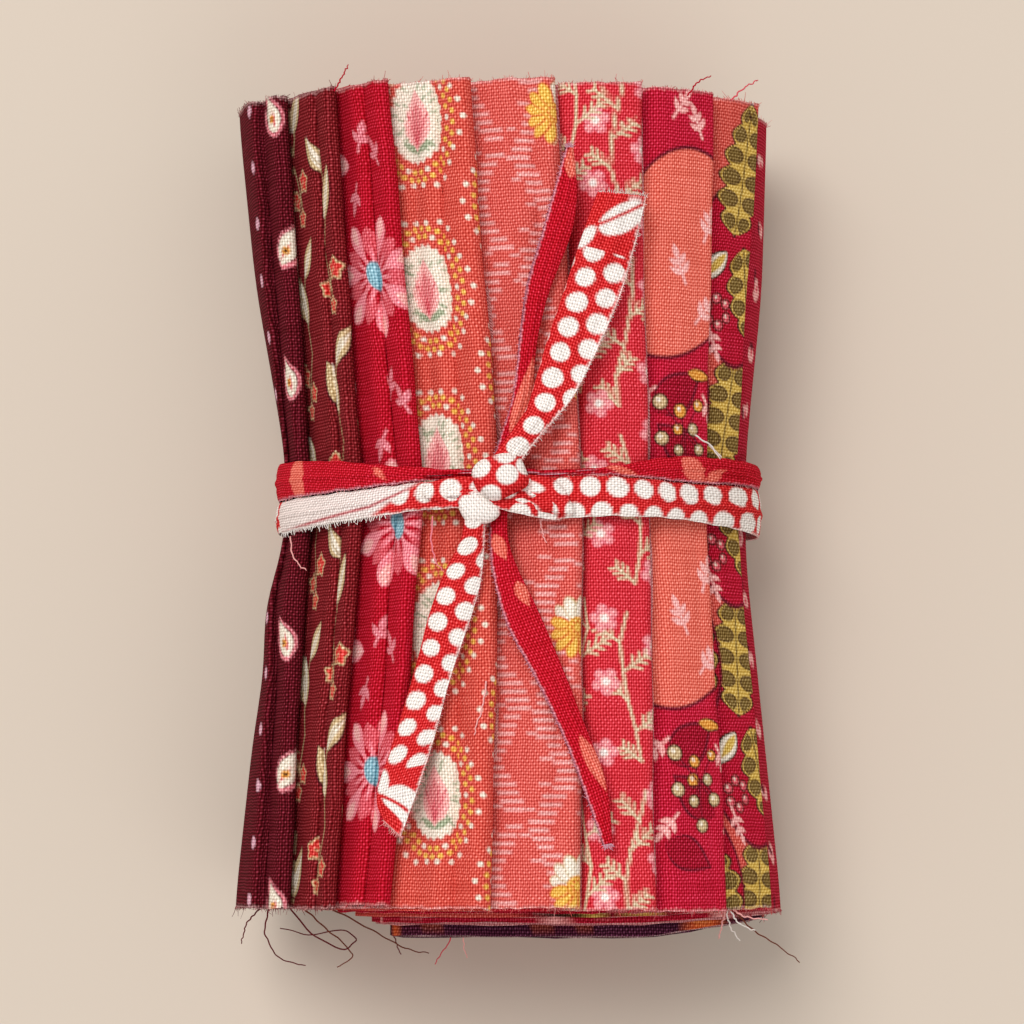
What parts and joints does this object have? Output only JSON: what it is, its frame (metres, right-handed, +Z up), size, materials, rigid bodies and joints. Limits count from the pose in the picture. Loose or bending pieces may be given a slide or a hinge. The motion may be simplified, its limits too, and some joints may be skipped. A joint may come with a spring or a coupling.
{
  "type": "rolled fabric bundle",
  "caption": "Bundle of folded printed cottons rolled into one flattened roll with fanned fold edges, drawn in at the waist by a knotted cloth tie.",
  "frame": {"origin": "on the table, under the middle of the bundle's box", "axes": "+X across the bundle to the right, +Y along the roll to the far end of the picture, +Z up from the table"},
  "size_m": [0.0784, 0.1186, 0.0535],
  "materials": {
    "burgundy_dot": "matte plain-weave cotton, printed",
    "maroon_leaf": "matte plain-weave cotton, printed",
    "crimson_daisy": "matte plain-weave cotton, printed",
    "coral_oval": "matte plain-weave cotton, printed",
    "coral_dash": "matte plain-weave cotton, printed",
    "red_twig": "matte plain-weave cotton, printed",
    "crimson_petal": "matte plain-weave cotton, printed",
    "mustard_leaf": "matte plain-weave cotton, printed",
    "red_blossom": "matte plain-weave cotton, printed",
    "plum_orange": "matte plain-weave cotton, printed",
    "tie_dotted": "matte plain-weave cotton, printed",
    "tie_plain": "matte plain-weave cotton"
  },
  "bodies": {
    "root": {"burgundy_dot": "burgundy_dot", "maroon_leaf": "maroon_leaf", "crimson_daisy": "crimson_daisy", "coral_oval": "coral_oval", "coral_dash": "coral_dash", "red_twig": "red_twig", "crimson_petal": "crimson_petal", "mustard_leaf": "mustard_leaf", "red_blossom": "red_blossom", "plum_orange": "plum_orange", "tie_dotted": "tie_dotted", "tie_plain": "tie_plain"}
  },
  "joints": []
}
